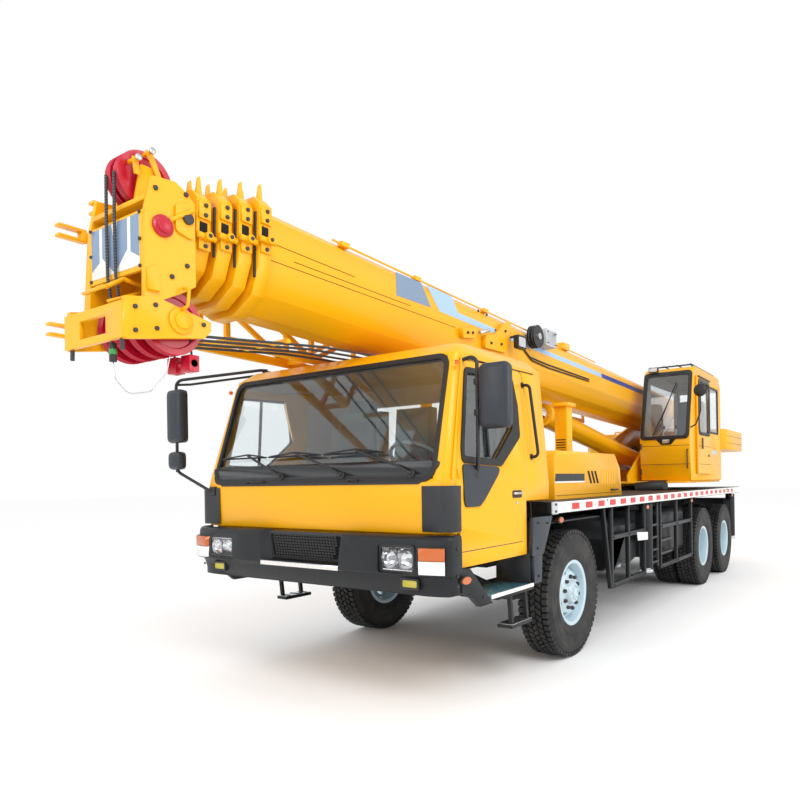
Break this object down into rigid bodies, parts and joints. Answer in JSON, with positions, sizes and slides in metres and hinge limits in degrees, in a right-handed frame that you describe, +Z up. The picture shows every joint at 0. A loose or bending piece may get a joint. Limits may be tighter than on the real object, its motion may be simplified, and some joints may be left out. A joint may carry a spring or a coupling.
{
  "type": "mobile crane",
  "caption": "Mobile crane: forward-cab truck carrier with sliding outriggers, slewing turntable with operator's cab, luffing telescopic boom and stowed lattice jib.",
  "frame": {"origin": "on the ground, midway along the crane from the hoist block at the nose to the counterweight at the tail, on its centre plane", "axes": "+X forward, +Y to the left of the driver, +Z up"},
  "size_m": [10.86, 3.1, 3.348],
  "materials": {
    "crane_paint": "gloss",
    "frame_paint": "satin",
    "dark_metal": "matt",
    "step_plate": "chequered",
    "wheel_paint": "gloss",
    "tyre": "matt",
    "glass": "clear",
    "dark_plastic": "matt",
    "lens": "clear",
    "red_paint": "gloss",
    "rod_chrome": "polished",
    "beam_paint": "satin"
  },
  "bodies": {
    "carrier": {"chassis_frame": "frame_paint", "deck": "frame_paint", "boom_rest": "crane_paint", "guards": "frame_paint", "cab_steps": "step_plate", "front_bumper": "frame_paint", "lamps": "lens", "cab_shell": "crane_paint", "cab_glass": "glass", "cab_interior": "dark_plastic", "cab_mirrors": "dark_plastic", "engine_block": "dark_metal", "engine_hood": "crane_paint", "tanks": "frame_paint", "axles": "dark_metal"},
    "knuckle_left": {"knuckle_left": "dark_metal"},
    "knuckle_right": {"knuckle_right": "dark_metal"},
    "wheel_front_left": {"rim_front_left": "wheel_paint", "tyre_front_left": "tyre"},
    "wheel_front_right": {"rim_front_right": "wheel_paint", "tyre_front_right": "tyre"},
    "wheel_mid_left": {"rim_mid_left": "wheel_paint", "tyre_mid_left": "tyre"},
    "wheel_mid_right": {"rim_mid_right": "wheel_paint", "tyre_mid_right": "tyre"},
    "wheel_rear_left": {"rim_rear_left": "wheel_paint", "tyre_rear_left": "tyre"},
    "wheel_rear_right": {"rim_rear_right": "wheel_paint", "tyre_rear_right": "tyre"},
    "cab_door_left": {"cab_door_left": "crane_paint", "cab_door_glass_left": "glass"},
    "cab_door_right": {"cab_door_right": "crane_paint", "cab_door_glass_right": "glass"},
    "outrigger_beam_front_left": {"outrigger_beam_front_left": "beam_paint"},
    "jack_front_left": {"jack_front_left": "rod_chrome"},
    "outrigger_beam_front_right": {"outrigger_beam_front_right": "beam_paint"},
    "jack_front_right": {"jack_front_right": "rod_chrome"},
    "outrigger_beam_rear_left": {"outrigger_beam_rear_left": "beam_paint"},
    "jack_rear_left": {"jack_rear_left": "rod_chrome"},
    "outrigger_beam_rear_right": {"outrigger_beam_rear_right": "beam_paint"},
    "jack_rear_right": {"jack_rear_right": "rod_chrome"},
    "turntable": {"turntable": "crane_paint", "counterweight": "crane_paint", "winches": "dark_metal", "operator_cab": "crane_paint", "operator_glass": "glass", "operator_fittings": "dark_plastic"},
    "operator_door": {"operator_door": "crane_paint", "operator_door_glass": "glass"},
    "boom": {"boom_base": "crane_paint", "cable_reel": "dark_plastic", "jib": "crane_paint"},
    "luff_barrel": {"luff_barrel": "crane_paint"},
    "luff_rod": {"luff_rod": "rod_chrome"},
    "boom_section_2": {"boom_section_2": "crane_paint"},
    "boom_section_3": {"boom_section_3": "crane_paint"},
    "boom_section_4": {"boom_section_4": "crane_paint"},
    "boom_head": {"boom_head": "crane_paint", "sheaves": "red_paint"}
  },
  "joints": [
    {"name": "steer_left", "type": "hinge", "parent": "carrier", "child": "knuckle_left", "pos_m": [2.02, 0.87, 0.54], "axis": [0, 0, 1], "range_deg": [-32, 32]},
    {"name": "steer_right", "type": "hinge", "parent": "carrier", "child": "knuckle_right", "pos_m": [2.02, -0.87, 0.54], "axis": [0, 0, 1], "range_deg": [-32, 32]},
    {"name": "spin_front_left", "type": "hinge", "parent": "knuckle_left", "child": "wheel_front_left", "pos_m": [2.02, 1.045, 0.54], "axis": [0, 1, 0], "continuous": true},
    {"name": "spin_front_right", "type": "hinge", "parent": "knuckle_right", "child": "wheel_front_right", "pos_m": [2.02, -1.045, 0.54], "axis": [0, 1, 0], "continuous": true},
    {"name": "spin_mid_left", "type": "hinge", "parent": "carrier", "child": "wheel_mid_left", "pos_m": [-2.37, 0.932, 0.54], "axis": [0, 1, 0], "continuous": true},
    {"name": "spin_mid_right", "type": "hinge", "parent": "carrier", "child": "wheel_mid_right", "pos_m": [-2.37, -0.932, 0.54], "axis": [0, 1, 0], "continuous": true},
    {"name": "spin_rear_left", "type": "hinge", "parent": "carrier", "child": "wheel_rear_left", "pos_m": [-3.72, 0.932, 0.54], "axis": [0, 1, 0], "continuous": true},
    {"name": "spin_rear_right", "type": "hinge", "parent": "carrier", "child": "wheel_rear_right", "pos_m": [-3.72, -0.932, 0.54], "axis": [0, 1, 0], "continuous": true},
    {"name": "cab_door_left", "type": "hinge", "parent": "carrier", "child": "cab_door_left", "pos_m": [3.854, 1.2125, 1.35], "axis": [0, 0, -1], "range_deg": [0, 70]},
    {"name": "cab_door_right", "type": "hinge", "parent": "carrier", "child": "cab_door_right", "pos_m": [3.854, -1.2125, 1.35], "axis": [0, 0, 1], "range_deg": [0, 70]},
    {"name": "outrigger_front_left", "type": "slide", "parent": "carrier", "child": "outrigger_beam_front_left", "axis": [0, 1, 0], "range_m": [0, 1.5]},
    {"name": "jack_front_left", "type": "slide", "parent": "outrigger_beam_front_left", "child": "jack_front_left", "axis": [0, 0, -1], "range_m": [0, 0.56]},
    {"name": "outrigger_front_right", "type": "slide", "parent": "carrier", "child": "outrigger_beam_front_right", "axis": [0, -1, 0], "range_m": [0, 1.5]},
    {"name": "jack_front_right", "type": "slide", "parent": "outrigger_beam_front_right", "child": "jack_front_right", "axis": [0, 0, -1], "range_m": [0, 0.56]},
    {"name": "outrigger_rear_left", "type": "slide", "parent": "carrier", "child": "outrigger_beam_rear_left", "axis": [0, 1, 0], "range_m": [0, 1.5]},
    {"name": "jack_rear_left", "type": "slide", "parent": "outrigger_beam_rear_left", "child": "jack_rear_left", "axis": [0, 0, -1], "range_m": [0, 0.56]},
    {"name": "outrigger_rear_right", "type": "slide", "parent": "carrier", "child": "outrigger_beam_rear_right", "axis": [0, -1, 0], "range_m": [0, 1.5]},
    {"name": "jack_rear_right", "type": "slide", "parent": "outrigger_beam_rear_right", "child": "jack_rear_right", "axis": [0, 0, -1], "range_m": [0, 0.56]},
    {"name": "slew", "type": "hinge", "parent": "carrier", "child": "turntable", "pos_m": [-2.53, 0, 1.4], "axis": [0, 0, 1], "continuous": true},
    {"name": "operator_door", "type": "slide", "parent": "turntable", "child": "operator_door", "axis": [-1, 0, 0], "range_m": [0, 0.69]},
    {"name": "luff", "type": "hinge", "parent": "turntable", "child": "boom", "pos_m": [-4.93, 0, 2.7], "axis": [0, -1, 0], "range_deg": [0, 78]},
    {"name": "luff_tilt", "type": "hinge", "parent": "turntable", "child": "luff_barrel", "pos_m": [-2.98, 0, 1.83], "axis": [0, -1, 0], "range_deg": [0, 85.9]},
    {"name": "luff_extend", "type": "slide", "parent": "luff_barrel", "child": "luff_rod", "axis": [0.9902, 0, 0.1399], "range_m": [0, 2.603]},
    {"name": "telescope_2", "type": "slide", "parent": "boom", "child": "boom_section_2", "axis": [0.9994, 0, 0.0349], "range_m": [0, 5.5]},
    {"name": "telescope_3", "type": "slide", "parent": "boom_section_2", "child": "boom_section_3", "axis": [0.9994, 0, 0.0349], "range_m": [0, 5.5]},
    {"name": "telescope_4", "type": "slide", "parent": "boom_section_3", "child": "boom_section_4", "axis": [0.9994, 0, 0.0349], "range_m": [0, 5.5]},
    {"name": "telescope_5", "type": "slide", "parent": "boom_section_4", "child": "boom_head", "axis": [0.9994, 0, 0.0349], "range_m": [0, 5.5]}
  ],
  "couplings": [
    {"joint": "steer_right", "follows": "steer_left", "ratio": 1},
    {"joint": "luff_tilt", "follows": "luff", "ratio": 1.1004},
    {"joint": "luff_extend", "follows": "luff", "m_per_rad": 1.9114},
    {"joint": "telescope_3", "follows": "telescope_2", "ratio": 1},
    {"joint": "telescope_4", "follows": "telescope_2", "ratio": 1},
    {"joint": "telescope_5", "follows": "telescope_2", "ratio": 1}
  ]
}
